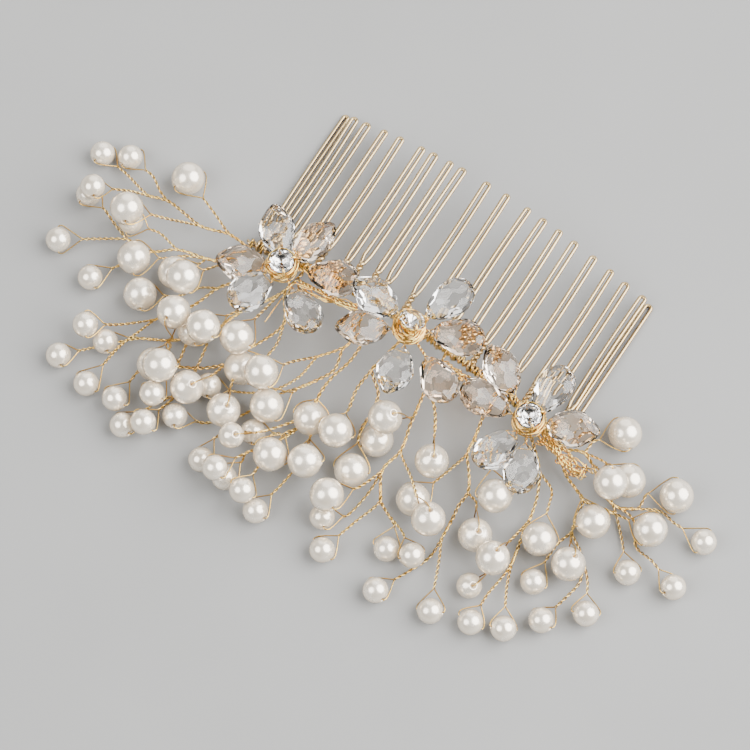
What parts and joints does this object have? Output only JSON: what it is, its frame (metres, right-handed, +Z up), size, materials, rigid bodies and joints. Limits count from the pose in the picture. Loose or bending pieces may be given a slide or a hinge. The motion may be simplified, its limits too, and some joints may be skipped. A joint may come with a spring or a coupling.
{
  "type": "bridal hair comb",
  "caption": "Wire hair comb with crystal flowers along its arched spine and sprays of pearls on twisted gold wire fanning out from it.",
  "frame": {"origin": "bottom centre of the whole piece's bounding box, on the table that it lies on", "axes": "+X along the spine from its left end to its right end, seen with the teeth pointing away; +Y towards the tooth tips; +Z up, out of the face that shows when it is worn"},
  "size_m": [0.1768, 0.0994, 0.022],
  "materials": {
    "comb_wire": "polished pale champagne gold plated wire",
    "gold_wire": "polished warm yellow gold wire, twisted",
    "pearl_spray": "ivory imitation pearls on twisted gold wire",
    "pearl": "ivory imitation pearl, soft lustre",
    "crystal": "clear faceted glass drop",
    "stone": "clear faceted round stone, foiled behind",
    "gold_setting": "polished yellow gold cup with four claws"
  },
  "bodies": {
    "root": {"comb": "comb_wire", "flower_left_petal_a": "crystal", "flower_left_petal_b": "crystal", "flower_left_petal_c": "crystal", "flower_left_petal_d": "crystal", "flower_left_petal_e": "crystal", "flower_left_petal_f": "crystal", "flower_left_setting": "gold_setting", "flower_left_stone": "stone", "flower_middle_petal_a": "crystal", "flower_middle_petal_b": "crystal", "flower_middle_petal_c": "crystal", "flower_middle_petal_d": "crystal", "flower_middle_petal_e": "crystal", "flower_middle_petal_f": "crystal", "flower_middle_setting": "gold_setting", "flower_middle_stone": "stone", "flower_right_petal_a": "crystal", "flower_right_petal_b": "crystal", "flower_right_petal_c": "crystal", "flower_right_petal_d": "crystal", "flower_right_petal_e": "crystal", "flower_right_petal_f": "crystal", "flower_right_setting": "gold_setting", "flower_right_stone": "stone", "spray_01": "pearl_spray", "spray_02": "pearl_spray", "spray_03": "pearl_spray", "spray_04": "pearl_spray", "spray_05": "pearl_spray", "spray_06": "pearl_spray", "spray_07": "gold_wire", "spray_07_pearl_1": "pearl", "spray_07_pearl_2": "pearl", "spray_07_pearl_3": "pearl", "spray_08": "gold_wire", "spray_08_pearl_1": "pearl", "spray_08_pearl_2": "pearl", "spray_08_pearl_3": "pearl", "spray_08_pearl_4": "pearl", "spray_09": "gold_wire", "spray_09_pearl_1": "pearl", "spray_09_pearl_2": "pearl", "spray_09_pearl_3": "pearl", "spray_10": "gold_wire", "spray_10_pearl_1": "pearl", "spray_10_pearl_2": "pearl", "spray_11": "gold_wire", "spray_11_pearl_1": "pearl", "spray_11_pearl_2": "pearl", "spray_11_pearl_3": "pearl", "spray_12": "gold_wire", "spray_12_pearl_1": "pearl", "spray_12_pearl_2": "pearl", "spray_12_pearl_3": "pearl", "spray_12_pearl_4": "pearl", "wire_ends_left": "gold_wire", "wire_ends_middle": "gold_wire", "wire_knot": "gold_wire"}
  },
  "joints": []
}
